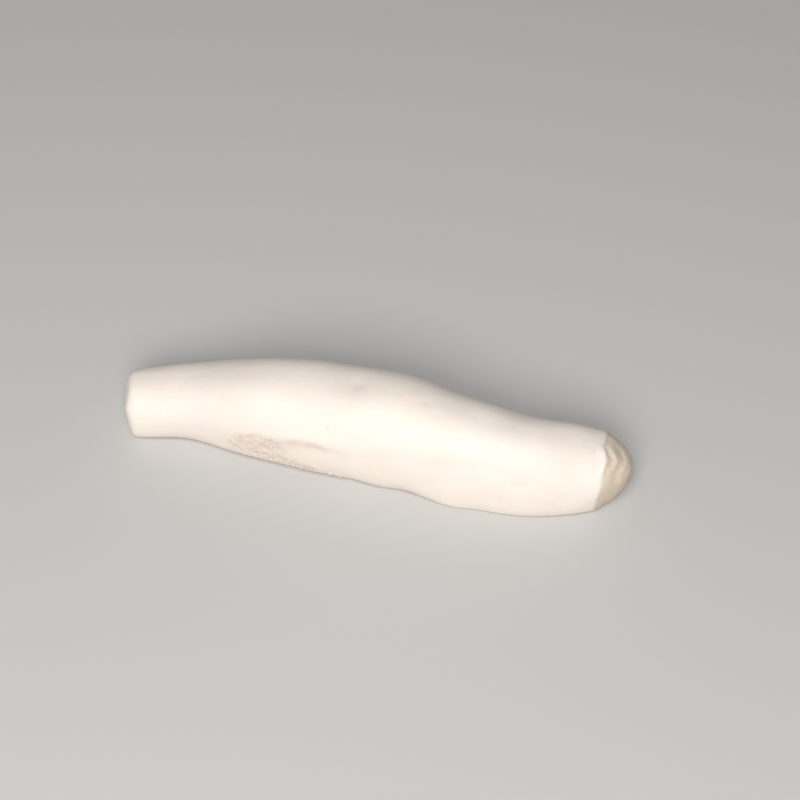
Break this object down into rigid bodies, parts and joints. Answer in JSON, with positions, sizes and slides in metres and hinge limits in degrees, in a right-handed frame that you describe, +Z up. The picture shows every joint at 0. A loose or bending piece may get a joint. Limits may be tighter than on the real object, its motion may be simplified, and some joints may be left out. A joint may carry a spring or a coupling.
{
  "type": "steamed bun",
  "caption": "Long steamed bun: a plain white wheat-dough roll, bowed along its length, flat underneath, with a blunt end and a knife-cut end whose crumb swells out past the skin.",
  "frame": {"origin": "bottom centre of the roll's box, on the surface that it lies on", "axes": "+X along the roll towards its cut end, +Y to the back, +Z up"},
  "size_m": [0.2736, 0.0616, 0.052],
  "materials": {
    "dough_skin": "satin steamed dough skin, slightly translucent"
  },
  "bodies": {
    "root": {"bun": "dough_skin"}
  },
  "joints": []
}
